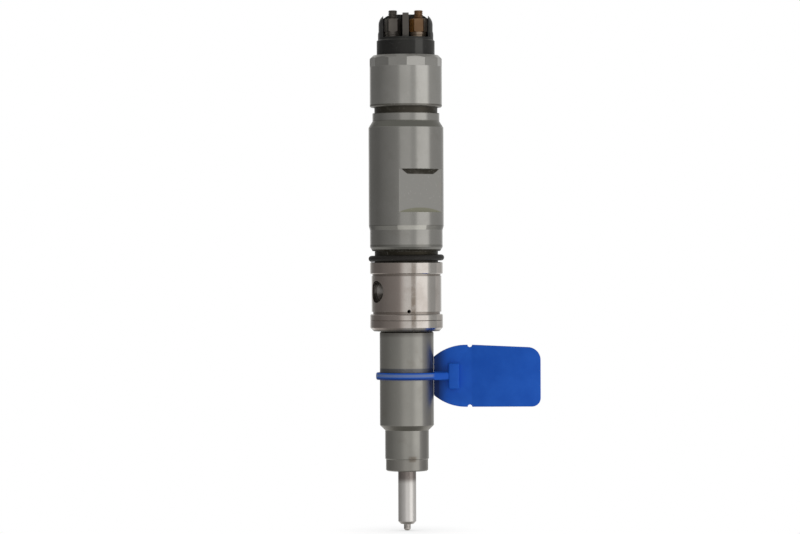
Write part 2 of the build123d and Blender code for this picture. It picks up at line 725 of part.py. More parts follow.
for side, x in terminal_spots.items():
    with BuildPart() as terminal_stud:
        for radius, low_z, high_z in [(stud_pin_r, slot_top_z, stud_anchor_z),
                                      (stud_r, stud_anchor_z, bay_floor_z),
                                      (stud_flange_r, bay_floor_z, stud_flange_top_z),
                                      (stud_r, stud_flange_top_z, stud_top_z)]:
            with BuildSketch(Plane.XY.offset(low_z)):
                with Locations((x, 0)):
                    Circle(radius)
            extrude(amount=high_z - low_z)
        chamfer(terminal_stud.edges().group_by(Axis.Z)[-1], edge_break)
    finish(terminal_stud.part, f"{side}_terminal_stud")

    with BuildPart() as terminal_washer:
        with BuildSketch(Plane.XY.offset(stud_flange_top_z)):
            with Locations((x, 0)):
                Circle(washer_r)
                Circle(stud_r + slip, mode=Mode.SUBTRACT)
        extrude(amount=washer_top_z - stud_flange_top_z)
    finish(terminal_washer.part, f"{side}_terminal_washer")

    # A hexagon with its corners turned down at both ends
    corner_r = terminal_nut_flat / cos(radians(30))
    corner_drop = (corner_r - terminal_nut_flat) * 0.8
    with BuildPart() as terminal_nut:
        with BuildSketch(Plane.XY.offset(washer_top_z)):
            with Locations((x, 0)):
                RegularPolygon(radius=terminal_nut_flat, side_count=6, major_radius=False,
                               rotation=terminal_nut_turn)
                Circle(stud_r + slip, mode=Mode.SUBTRACT)
        extrude(amount=terminal_nut_top_z - washer_top_z)
        with BuildSketch(Plane.XZ.move(Location((x, 0, 0)))):
            with BuildLine():
                Polyline((0, washer_top_z), (terminal_nut_flat, washer_top_z),
                         (corner_r + slip, washer_top_z + corner_drop),
                         (corner_r + slip, terminal_nut_top_z - corner_drop),
                         (terminal_nut_flat, terminal_nut_top_z), (0, terminal_nut_top_z), close=True)
            make_face()
        revolve(axis=Axis((x, 0, 0), (0, 0, 1)), mode=Mode.INTERSECT)
    finish(terminal_nut.part, f"{side}_terminal_nut")

# ---------------------------------------------------------------------------------------------------
# Seal tag: a flag, a strap round the retaining nut and the lock that holds the strap's end
# ---------------------------------------------------------------------------------------------------

# The strap leaves its loop on a tangent that runs to the lock, in front of the flag
strap_mean_r = strap_bore_r + strap_thick / 2
lock_front_y = -flag_thick / 2 - lock_depth
entry_x = lock_x + 0.5
entry_y = -flag_thick / 2 - lock_depth / 2
entry_distance = hypot(entry_x, entry_y)
tangent_angle = degrees(atan2(entry_y, entry_x) - acos(strap_mean_r / entry_distance))
tangent_x, tangent_y, tangent_z = spot(strap_mean_r, tangent_angle, tag_z)
run_length = hypot(entry_x - tangent_x, entry_y - tangent_y)
run_angle = degrees(atan2(entry_y - tangent_y, entry_x - tangent_x))
loop_end_angle = -360 + 2

flag_rise = flag_half - flag_neck_half
flag_lead = flag_full_x - flag_x
flag_arc_r = (flag_lead ** 2 + flag_rise ** 2) / (2 * flag_rise)
with BuildPart() as seal_tag:
    # Flag
    with BuildSketch(Plane.XZ.offset(-flag_thick / 2)):
        with BuildLine():
            top = RadiusArc((flag_full_x, tag_z + flag_half), (flag_x, tag_z + flag_neck_half),
                            -flag_arc_r)
            Line(top @ 1, (flag_x, tag_z - flag_neck_half))
            RadiusArc((flag_x, tag_z - flag_neck_half), (flag_full_x, tag_z - flag_half),
                      -flag_arc_r)
            end = FilletPolyline((flag_full_x, tag_z - flag_half), (flag_end_x, tag_z - flag_half),
                                 (flag_end_x, tag_z + flag_half), (flag_full_x, tag_z + flag_half),
                                 radius=flag_corner_r)
        make_face()
        with Locations((notch_x, tag_z + flag_half), (notch_x, tag_z - flag_half)):
            Circle(notch_r, mode=Mode.SUBTRACT)
    extrude(amount=flag_thick)
    # Loop of strap, round from the tangent point to the flag's neck
    with BuildSketch(Plane.XY.offset(tag_z - strap_height / 2)):
        with BuildLine():
            CenterArc((0, 0), strap_bore_r, tangent_angle, loop_end_angle - tangent_angle)
            CenterArc((0, 0), strap_bore_r + strap_thick, tangent_angle,
                      loop_end_angle - tangent_angle)
            for angle in (tangent_angle, loop_end_angle):
                Line(spot(strap_bore_r, angle, 0), spot(strap_bore_r + strap_thick, angle, 0))
        make_face()
    extrude(amount=strap_height)
    # Straight run to the lock
    with BuildSketch(Plane.XY.offset(tag_z - strap_height / 2)):
        with Locations(Location(((tangent_x + entry_x) / 2, (tangent_y + entry_y) / 2, 0),
                                (0, 0, run_angle))):
            Rectangle(run_length, strap_thick)
    extrude(amount=strap_height)
    # Lock box on the front of the flag, with a pocket for the insert
    with BuildSketch(Plane.XZ.offset(flag_thick / 2)):
        with Locations((lock_x + lock_width / 2, tag_z)):
            RectangleRounded(lock_width, lock_height, 0.8)
    extrude(amount=lock_depth)
    with BuildSketch(Plane.XZ.offset(-lock_front_y)):
        with Locations((lock_x + lock_width / 2, tag_z)):
            Rectangle(insert_width, insert_height)
    extrude(amount=-insert_depth, mode=Mode.SUBTRACT)
finish(seal_tag.part, "seal_tag")

with BuildPart() as tag_lock_insert:
    with BuildSketch(Plane.XZ.offset(-lock_front_y - insert_depth)):
        with Locations((lock_x + lock_width / 2, tag_z)):
            Rectangle(insert_width - slip, insert_height - slip)
    extrude(amount=insert_depth - slip)
    chamfer(tag_lock_insert.faces().sort_by(Axis.Y)[0].edges(), 0.2)
finish(tag_lock_insert.part, "tag_lock_insert")
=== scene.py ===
# %% [markdown]
# # A common-rail fuel injector
#
# This lesson dresses a diesel injector that was designed as a stack of turned steel parts. The
# design is loaded first and never changed: its nodes already have their true shape and place, in
# metres, with +Z along the injector's axis. What is left to do is the finish of every surface, and
# new meshes for the pieces whose small detail a design model leaves out.

# %% Load the design
from math import acos, asin, atan2, cos, degrees, hypot, pi, radians, sin

import bmesh
import bpy
from mathutils import Matrix, Vector


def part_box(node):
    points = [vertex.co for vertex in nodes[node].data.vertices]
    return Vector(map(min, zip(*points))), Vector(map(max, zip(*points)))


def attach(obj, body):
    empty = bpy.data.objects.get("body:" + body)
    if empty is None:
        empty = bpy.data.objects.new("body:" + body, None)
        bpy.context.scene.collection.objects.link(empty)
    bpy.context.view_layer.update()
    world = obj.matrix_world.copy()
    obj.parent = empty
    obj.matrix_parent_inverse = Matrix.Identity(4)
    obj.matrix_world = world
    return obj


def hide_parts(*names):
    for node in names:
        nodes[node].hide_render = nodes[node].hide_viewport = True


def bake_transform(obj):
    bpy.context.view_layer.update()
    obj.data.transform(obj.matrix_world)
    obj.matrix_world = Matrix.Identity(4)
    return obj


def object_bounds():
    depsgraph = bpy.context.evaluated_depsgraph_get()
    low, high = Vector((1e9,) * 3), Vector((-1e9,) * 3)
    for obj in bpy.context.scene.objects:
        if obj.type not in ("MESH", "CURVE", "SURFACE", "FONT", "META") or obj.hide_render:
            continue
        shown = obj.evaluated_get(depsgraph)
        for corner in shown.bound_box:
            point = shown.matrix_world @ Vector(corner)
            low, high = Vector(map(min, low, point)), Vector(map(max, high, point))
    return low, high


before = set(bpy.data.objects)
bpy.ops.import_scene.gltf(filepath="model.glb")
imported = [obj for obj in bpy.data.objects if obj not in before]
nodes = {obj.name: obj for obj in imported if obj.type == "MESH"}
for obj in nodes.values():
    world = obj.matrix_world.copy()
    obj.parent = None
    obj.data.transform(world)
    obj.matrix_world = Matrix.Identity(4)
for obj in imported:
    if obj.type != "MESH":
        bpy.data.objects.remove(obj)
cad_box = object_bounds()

mm = 0.001
print(f"{len(nodes)} nodes, {(cad_box[1].z - cad_box[0].z) / mm:.1f} mm tall")

# %% [markdown]
# ## The camera
#
# The injector is long and thin, so it is seen square from the side through a long lens. Such a
# lens, far away, keeps the two ends of the injector as wide as its middle. The distance follows
# from the lens, the sensor and the width that the picture should span.

# %% Camera
lens_length, sensor_width = 150, 36
picture_span = 312 * mm
camera_data = bpy.data.cameras.new("camera")
camera_data.lens, camera_data.sensor_width = lens_length, sensor_width
camera = bpy.data.objects.new("camera", camera_data)
camera_distance = picture_span * lens_length / sensor_width
camera.location = (-2.5 * mm, -camera_distance, 79.4 * mm)
camera.rotation_euler = (radians(90), radians(0.2), 0)
bpy.context.scene.collection.objects.link(camera)
bpy.context.scene.camera = camera
print(f"the camera stands {camera_distance:.2f} m away")

# %% [markdown]
# ## Floor and light
#
# Bare metal shows what stands around it more than its own colour. A turned part facing a big
# bright panel gets one broad highlight, and its sides turn dark where nothing bright faces them.
# A surface that leans away from the camera by some angle mirrors what lies at twice that angle, so
# the bands on a cylinder can be placed by placing panels round it. Here the surroundings hold the
# panels: a colour ramp goes once round the horizon, with a soft-edged panel wherever the ramp is
# bright. The camera itself sees plain white. Overhead is dimmer, a bright table edge lies below
# the horizon, and straight down is dark, which is what the shoulders that face downward show.


# %% Helpers that place shader nodes
def add_node(tree, kind, inputs=None, **settings):
    """Add a shader node. Each input is a number, a colour, or another node's output to link."""
    made = tree.nodes.new("ShaderNode" + kind)
    for name, value in settings.items():
        setattr(made, name, value)
    for name, value in (inputs or {}).items():
        if isinstance(value, bpy.types.NodeSocket):
            tree.links.new(value, made.inputs[name])
        else:
            made.inputs[name].default_value = value
    return made


def maths(tree, operation, *values):
    """One maths node, with its values in order."""
    return add_node(tree, "Math", dict(enumerate(values)), operation=operation).outputs[0]


def remap(tree, value, low, high, to_low=0.0, to_high=1.0):
    """A value's place between low and high, eased at both ends."""
    return add_node(tree, "MapRange", {"Value": value, "From Min": low, "From Max": high,
                                       "To Min": to_low, "To Max": to_high},
                    interpolation_type="SMOOTHSTEP").outputs["Result"]


def blend_colours(tree, mask, first, second):
    """One colour over another where the mask is 1."""
    mixed = add_node(tree, "Mix", data_type="RGBA")
    for name, value in (("Factor", mask), ("A", first), ("B", second)):
        socket = next(s for s in mixed.inputs if s.name == name and s.enabled)
        if isinstance(value, bpy.types.NodeSocket):
            tree.links.new(value, socket)
        else:
            socket.default_value = (*value, 1) if name != "Factor" else value
    return next(s for s in mixed.outputs if s.enabled)


# %% Surroundings: panels round the horizon, seen only in reflections and as light
panels = [(-180, 0.62), (-158, 0.62), (-148, 0.21), (-95, 0.195), (-66, 0.27), (-40, 0.32),
          (-23, 0.36), (-18, 0.58), (13, 0.62), (17, 0.50), (30, 0.50), (35, 0.90), (72, 0.95),
          (81, 0.44), (146, 0.40), (158, 0.62), (180, 0.62)]     # degrees to the right, brightness
overhead, table_edge, underneath = (0.36, 0.36, 0.355), (1.2, 1.2, 1.18), (0.26, 0.26, 0.25)
world = bpy.data.worlds.new("studio")
bpy.context.scene.world = world
world.use_nodes = True
tree = world.node_tree
tree.nodes.clear()
look = add_node(tree, "SeparateXYZ", {0: add_node(tree, "TexCoord").outputs["Generated"]}).outputs
heading = maths(tree, "ARCTAN2", look["X"], maths(tree, "MULTIPLY", look["Y"], -1.0))
ramp = add_node(tree, "ValToRGB", {"Fac": maths(tree, "MULTIPLY_ADD", heading, 0.5 / pi, 0.5)})
stops = ramp.color_ramp.elements
stops[0].position, stops[1].position = 0.0, 1.0
for angle, _ in panels[1:-1]:
    stops.new(angle / 360 + 0.5)
for stop, (angle, brightness) in zip(stops, panels):
    stop.color = (brightness, brightness * 0.995, brightness * 0.985, 1)
around = blend_colours(tree, remap(tree, look["Z"], 0.35, 0.8), ramp.outputs["Color"], overhead)
table = maths(tree, "MULTIPLY", remap(tree, look["Z"], -0.2, -0.4), 0.3)
around = blend_colours(tree, table, around, table_edge)
around = blend_colours(tree, remap(tree, look["Z"], -0.7, -0.85), around, underneath)
ray = add_node(tree, "LightPath")
seen = add_node(tree, "Background", {"Color": (1, 1, 1, 1), "Strength": 1.0})
lighting = add_node(tree, "Background", {"Color": around, "Strength": 1.0})
either = add_node(tree, "MixShader", {0: ray.outputs["Is Camera Ray"], 1: lighting.outputs[0],
                                      2: seen.outputs[0]})
add_node(tree, "OutputWorld", {"Surface": either.outputs[0]})
bpy.context.scene.view_settings.view_transform = "Standard"
print(len(panels), "stops round the horizon")

# %% [markdown]
# The floor is a plain pale disc. It is as white as the surroundings, so no horizon crosses the
# picture, and a painted shadow darkens it a little where the nozzle's tip nearly touches it. Only
# the camera sees it: light and reflections pass through to the panels, which reach below the
# horizon too.

# %% Floor
floor_radius, floor_gap = 3.0, 0.05 * mm
floor_mesh = bpy.data.meshes.new("floor")
floor_shape = bmesh.new()
bmesh.ops.create_circle(floor_shape, cap_ends=True, segments=96,
                        radius=floor_radius)
bmesh.ops.translate(floor_shape, verts=floor_shape.verts, vec=(0, 0, cad_box[0].z - floor_gap))
floor_shape.to_mesh(floor_mesh)
floor_shape.free()
floor = bpy.data.objects.new("floor", floor_mesh)
bpy.context.scene.collection.objects.link(floor)

floor_paint = bpy.data.materials.new("pale_floor")
floor_paint.use_nodes = True
tree = floor_paint.node_tree
tree.nodes.clear()
# painted contact shadow: the floor's glow dims where the tip is near
nearness = add_node(tree, "AmbientOcclusion", {"Distance": 30 * mm}, samples=8)
shade = maths(tree, "MULTIPLY_ADD", nearness.outputs["AO"], 0.5, 0.5)
shown = add_node(tree, "Emission", {"Color": (1, 1, 1, 1), "Strength": shade})
bounced = add_node(tree, "BsdfTransparent")
ray = add_node(tree, "LightPath")
both = add_node(tree, "MixShader", {0: ray.outputs["Is Camera Ray"], 1: bounced.outputs[0],
                                    2: shown.outputs[0]})
add_node(tree, "OutputMaterial", {"Surface": both.outputs[0]})
floor_mesh.materials.append(floor_paint)
print(f"the floor lies {floor_gap / mm:.2f} mm under the tip")

# %% [markdown]
# One soft lamp adds a little direct light, so that the plastic has a clear light side. Neither the
# camera nor a reflection shows the lamp itself.

# %% Lamp
lamp_data = bpy.data.lights.new("soft_lamp", "AREA")
lamp_data.shape, lamp_data.size, lamp_data.size_y, lamp_data.energy = "RECTANGLE", 0.5, 0.9, 1.6
lamp = bpy.data.objects.new("soft_lamp", lamp_data)
lamp_heading, lamp_distance, lamp_height = radians(52), 1.6, 0.5
lamp.location = (sin(lamp_heading) * lamp_distance, -cos(lamp_heading) * lamp_distance,
                 lamp_height)
aim = Vector((0, 0, 80 * mm)) - lamp.location
lamp.rotation_euler = aim.to_track_quat("-Z", "Y").to_euler()
lamp.visible_camera, lamp.visible_glossy = False, False
bpy.context.scene.collection.objects.link(lamp)
print(f"the lamp stands {lamp_distance} m away, {degrees(lamp_heading):.0f} degrees to the right")

# %% [markdown]
# ## Shared surface effects
#
# Real machined surfaces share a few kinds of detail: fine rings left by the lathe, cloudy stains,
# thin handling scratches and corners rubbed bright. Each is a node group, built once, with its
# sizes as inputs, so that every material can use it with its own values. A group hands out only a
# mask or a height. The shader itself stays in the material.


# %% A helper for node groups
def new_group(name, numbers, output):
    """A node group with number inputs, given as name to default, and one number output."""
    group = bpy.data.node_groups.new(name, "ShaderNodeTree")
    for label, default in numbers.items():
        socket = group.interface.new_socket(label, in_out="INPUT", socket_type="NodeSocketFloat")
        socket.default_value = default
    group.interface.new_socket(output, in_out="OUTPUT", socket_type="NodeSocketFloat")
    given = group.nodes.new("NodeGroupInput")
    result = group.nodes.new("NodeGroupOutput")
    return group, given.outputs, result.inputs


# %% [markdown]
# A lathe tool leaves rings round the axis. On a cylinder they follow the height and on a shoulder
# they follow the distance from the axis, so the sum of the two gives rings on both. A
# one-dimensional noise along that sum makes lines of uneven depth, as a worn tool does.

# %% Turning marks
turning_marks, given, result = new_group("turning_marks", {"Spacing": 0.1 * mm}, "Height")
place = add_node(turning_marks, "TexCoord").outputs["Object"]
flat = add_node(turning_marks, "VectorMath", {0: place, 1: (1, 1, 0)}, operation="MULTIPLY")
from_axis = add_node(turning_marks, "VectorMath", {0: flat.outputs[0]}, operation="LENGTH")
height = add_node(turning_marks, "SeparateXYZ", {0: place}).outputs["Z"]
along = maths(turning_marks, "ADD", from_axis.outputs["Value"], height)
waver = add_node(turning_marks, "TexNoise", {"Vector": place, "Scale": 90.0, "Detail": 1.0})
wavered = maths(turning_marks, "MULTIPLY_ADD", waver.outputs["Fac"], 0.05 * mm, along)
count = maths(turning_marks, "DIVIDE", wavered, given["Spacing"])
rings = add_node(turning_marks, "TexNoise", {"W": count, "Scale": 1.0, "Detail": 3.0,
                                             "Roughness": 0.7}, noise_dimensions="1D")
turning_marks.links.new(rings.outputs["Fac"], result["Height"])

# %% [markdown]
# Stains and plating are never even. Noise makes cloud shapes, and easing it between a low and a
# high level turns them into patches with soft rims.

# %% Clouds, for stains and uneven finish
clouds, given, result = new_group("clouds", {"Size": 10 * mm, "Low": 0.4, "High": 0.7}, "Mask")
place = add_node(clouds, "TexCoord").outputs["Object"]
scale = maths(clouds, "DIVIDE", 1.0, given["Size"])
puffs = add_node(clouds, "TexNoise", {"Vector": place, "Scale": scale, "Detail": 6.0,
                                      "Roughness": 0.6})
clouds.links.new(remap(clouds, puffs.outputs["Fac"], given["Low"], given["High"]), result["Mask"])

# %% [markdown]
# A handling scratch is a short thin line. Noise is stretched along the axis and squeezed across
# it, after a slight turn, and only its highest streaks are kept.

# %% Handling scratches, thin and mostly along the axis
scratches, given, result = new_group("scratches", {"Length": 6 * mm, "Width": 0.12 * mm,
                                                   "Turn": 0.2, "Rarity": 0.64}, "Mask")
place = add_node(scratches, "TexCoord").outputs["Object"]
tilt = add_node(scratches, "CombineXYZ", {"X": given["Turn"], "Y": given["Turn"]})
turned = add_node(scratches, "VectorRotate", {"Vector": place, "Rotation": tilt.outputs[0]},
                  rotation_type="EULER_XYZ")
parts = add_node(scratches, "SeparateXYZ", {0: turned.outputs[0]}).outputs
stretched = add_node(scratches, "CombineXYZ", {
    "X": maths(scratches, "DIVIDE", parts["X"], given["Width"]),
    "Y": maths(scratches, "DIVIDE", parts["Y"], given["Width"]),
    "Z": maths(scratches, "DIVIDE", parts["Z"], given["Length"])})
streaks = add_node(scratches, "TexNoise", {"Vector": stretched.outputs[0], "Scale": 0.5,
                                           "Detail": 2.0})
soft_end = maths(scratches, "ADD", given["Rarity"], 0.06)
scratches.links.new(remap(scratches, streaks.outputs["Fac"], given["Rarity"], soft_end),
                    result["Mask"])

# %% [markdown]
# A corner that is rubbed bright is found by asking how a rounded version of the shape would face.
# The Bevel node gives that direction. Where it differs from the true one, there is a corner.

# %% Worn corners
worn_corners, given, result = new_group("worn_corners", {"Radius": 0.4 * mm, "Breaks": 4 * mm},
                                        "Mask")
rounded = add_node(worn_corners, "Bevel", {"Radius": given["Radius"]}, samples=4)
facing = add_node(worn_corners, "NewGeometry").outputs["Normal"]
agree = add_node(worn_corners, "VectorMath", {0: rounded.outputs[0], 1: facing},
                 operation="DOT_PRODUCT")
corner = remap(worn_corners, agree.outputs["Value"], 0.99, 0.85)
place = add_node(worn_corners, "TexCoord").outputs["Object"]
scale = maths(worn_corners, "DIVIDE", 1.0, given["Breaks"])
patches = add_node(worn_corners, "TexNoise", {"Vector": place, "Scale": scale, "Detail": 5.0})
rubbed = remap(worn_corners, patches.outputs["Fac"], 0.38, 0.62)
worn_corners.links.new(maths(worn_corners, "MULTIPLY", corner, rubbed), result["Mask"])

# %% [markdown]
# A moulded skin is finely pebbled. A small noise gives the pebbles their height.

# %% Fine grain, for moulded surfaces
grain, given, result = new_group("grain", {"Size": 0.15 * mm}, "Height")
place = add_node(grain, "TexCoord").outputs["Object"]
scale = maths(grain, "DIVIDE", 1.0, given["Size"])
bumps = add_node(grain, "TexNoise", {"Vector": place, "Scale": scale, "Detail": 3.0,
                                     "Roughness": 0.65})
grain.links.new(bumps.outputs["Fac"], result["Height"])
print("shared effects:", ", ".join(sorted(group.name for group in bpy.data.node_groups)))

# %% [markdown]
# ## Materials
#
# A few helpers keep the materials short. One starts a material, one places a shared effect, one
# turns a height into bumps over softly rounded edges, and one makes the mask of a band.


# %% Helpers for materials
def new_material(name):
    """A material with its Principled shader, ready for links."""
    material = bpy.data.materials.new(name)
    material.use_nodes = True
    return material, material.node_tree, material.node_tree.nodes["Principled BSDF"]


def use_group(tree, group, **numbers):
    """Place a shared effect and return its one output."""
    placed = tree.nodes.new("ShaderNodeGroup")
    placed.node_tree = group
    for name, value in numbers.items():
        placed.inputs[name].default_value = value
    return placed.outputs[0]


def bumped(tree, shader, height, distance, edge_radius=None):
    """Drive the shader's normal by a height, over softly rounded edges."""
    bump = add_node(tree, "Bump", {"Height": height, "Distance": distance})
    if edge_radius:
        rounded = add_node(tree, "Bevel", {"Radius": edge_radius}, samples=4)
        tree.links.new(rounded.outputs[0], bump.inputs["Normal"])
    tree.links.new(bump.outputs[0], shader.inputs["Normal"])


def band(tree, value, low, high, soft):
    """1 between low and high, easing to 0 over the soft distance outside them."""
    above = remap(tree, value, low - soft, low)
    below = remap(tree, value, high, high + soft, 1.0, 0.0)
    return maths(tree, "MULTIPLY", above, below)


# %% [markdown]
# ## Steel
#
# The injector is several steels: a satin plated cap nut, a barrel with a softer sheen, sealing
# lands that were ground bright, and a plain plated nozzle nut. One function builds them all. It
# mixes two tones by clouds, adds stains, rings and scratches, and rubs the corners bright. A
# material can add its own zones: each zone is a mask with a tone and a roughness to use inside it.


# %% Steel
def steel(name, tone, dark_tone, stain_tone, roughness, ring_depth, ring_spacing, stain=0.5,
          wear=0.5, scratch=0.3, metallic=1.0, zones=None):
    """Turned steel. Tones are linear colours, and ring depth and spacing are in metres."""
    material, tree, shader = new_material(name)
    shader.inputs["Metallic"].default_value = metallic
    mottled = use_group(tree, clouds, Size=14 * mm, Low=0.3, High=0.72)
    base = blend_colours(tree, mottled, tone, dark_tone)
    rough = maths(tree, "MULTIPLY_ADD", mottled, 0.06, roughness - 0.03)
    for mask, zone_tone, zone_rough in (zones(tree) if zones else ()):
        base = blend_colours(tree, mask, base, zone_tone)
        change = maths(tree, "SUBTRACT", zone_rough, rough)
        rough = maths(tree, "MULTIPLY_ADD", mask, change, rough)
    stains = use_group(tree, clouds, Size=6 * mm, Low=0.54, High=0.75)
    stained = maths(tree, "MULTIPLY", stains, stain)
    base = blend_colours(tree, stained, base, stain_tone)
    corners = use_group(tree, worn_corners, Radius=0.3 * mm, Breaks=5 * mm)
    rubbed = maths(tree, "MULTIPLY", corners, wear)
    bright = tuple(min(1.0, part * 1.35) for part in tone)
    marks = use_group(tree, scratches, Length=9 * mm, Width=0.16 * mm, Turn=0.25, Rarity=0.66)
    scratched = maths(tree, "MULTIPLY", marks, scratch)
    base = blend_colours(tree, maths(tree, "MAXIMUM", rubbed, scratched), base, bright)
    tree.links.new(base, shader.inputs["Base Color"])
    duller = maths(tree, "MULTIPLY_ADD", stained, 0.10, rough)
    tree.links.new(maths(tree, "MULTIPLY_ADD", rubbed, -0.06, duller), shader.inputs["Roughness"])
    rings = use_group(tree, turning_marks, Spacing=ring_spacing)
    relief = maths(tree, "MULTIPLY_ADD", scratched, -0.5, rings)
    bumped(tree, shader, relief, ring_depth, 0.12 * mm)
    return material


# %% [markdown]
# ### Zones of the barrel
#
# The barrel is one piece of steel with several finishes. They sit at known heights: the clamp
# flats are milled, the lands below the O-ring are ground and stained by fuel, and the O-ring
# groove is dark with old oil and painted shade. A brown run shows a little to the right of the
# middle.
# Some zones are painted light and shade: a painted shadow under each flat's top ledge, painted
# shade in the inlet hole, on the top cone, round the neck and on both sides of the lands, and a
# painted highlight on the front of the lower chamfer. Each span below gives the lowest and the
# highest point of one zone.

# %% Barrel zones
lands = (53 * mm, 81.2 * mm)
lower_line, upper_line = (61.0 * mm, 62.0 * mm), (75.9 * mm, 76.7 * mm)
scribed_line = (58.5 * mm, 58.75 * mm)
inlet_hole, inlet_cone = (65 * mm, 74.6 * mm), (69.5 * mm, 71.9 * mm)
o_ring_groove = (81.35 * mm, 86.4 * mm)
hem_span, chamfer_span = (86.5 * mm, 88.0 * mm), (93.9 * mm, 95.6 * mm)
top_cone = (133.9 * mm, 136.2 * mm)
flat_turn = radians(-60)
flat_distance, barrel_radius = 11.0 * mm, 14.6 * mm
flat_bottom, flat_top = 100.6 * mm, 117.4 * mm


def axis_places(tree):
    """Height, distance from the axis, degrees to the right of the front, and the place itself."""
    place = add_node(tree, "TexCoord").outputs["Object"]
    parts = add_node(tree, "SeparateXYZ", {0: place}).outputs
    flat = add_node(tree, "VectorMath", {0: place, 1: (1, 1, 0)}, operation="MULTIPLY")
    reach = add_node(tree, "VectorMath", {0: flat.outputs[0]}, operation="LENGTH")
    front = maths(tree, "MULTIPLY", parts["Y"], -1.0)
    turn = maths(tree, "ARCTAN2", parts["X"], front)
    return parts["Z"], reach.outputs["Value"], maths(tree, "DEGREES", turn), place


def milled_flats(tree, height, place):
    """Masks of the clamp flats, the curved painted shadow under each ledge, and each flat's sill.
    """
    side = add_node(tree, "VectorMath", {0: place, 1: (cos(flat_turn), sin(flat_turn), 0)},
                    operation="DOT_PRODUCT").outputs["Value"]
    across = add_node(tree, "VectorMath", {0: place, 1: (-sin(flat_turn), cos(flat_turn), 0)},
                      operation="DOT_PRODUCT").outputs["Value"]
    either_side = maths(tree, "ABSOLUTE", side)
    milled = maths(tree, "MULTIPLY", remap(tree, either_side, flat_distance - 0.1 * mm,
                                           flat_distance - 0.05 * mm),
                   band(tree, height, flat_bottom, flat_top, 0.02 * mm))
    milled = maths(tree, "MULTIPLY", milled, remap(tree, either_side, flat_distance + 0.05 * mm,
                                                   flat_distance + 0.1 * mm, 1.0, 0.0))
    # The painted shadow under the top ledge hangs down furthest where the barrel bulges most over
    # the flat.
    bulge = maths(tree, "SUBTRACT", barrel_radius ** 2, maths(tree, "MULTIPLY", across, across))
    bulge = maths(tree, "SUBTRACT", maths(tree, "SQRT", bulge), flat_distance)
    marks = maths(tree, "MAXIMUM", maths(tree, "SUBTRACT", bulge, 0.9 * mm), 0.0)
    marks = maths(tree, "MINIMUM", maths(tree, "MULTIPLY", marks, 1.3), 2.0 * mm)
    drop = maths(tree, "SUBTRACT", flat_top, marks)
    painted_ledge_shading = maths(tree, "SUBTRACT", height, drop)
    painted_ledge_shading = maths(tree, "MULTIPLY", remap(tree, painted_ledge_shading, -0.15 * mm, 0.15 * mm), milled)
    rise = maths(tree, "ADD", flat_bottom, maths(tree, "MULTIPLY", bulge, 0.5))
    sill = maths(tree, "SUBTRACT", rise, height)
    sill = maths(tree, "MULTIPLY", remap(tree, sill, -0.15 * mm, 0.15 * mm), milled)
    return milled, painted_ledge_shading, sill


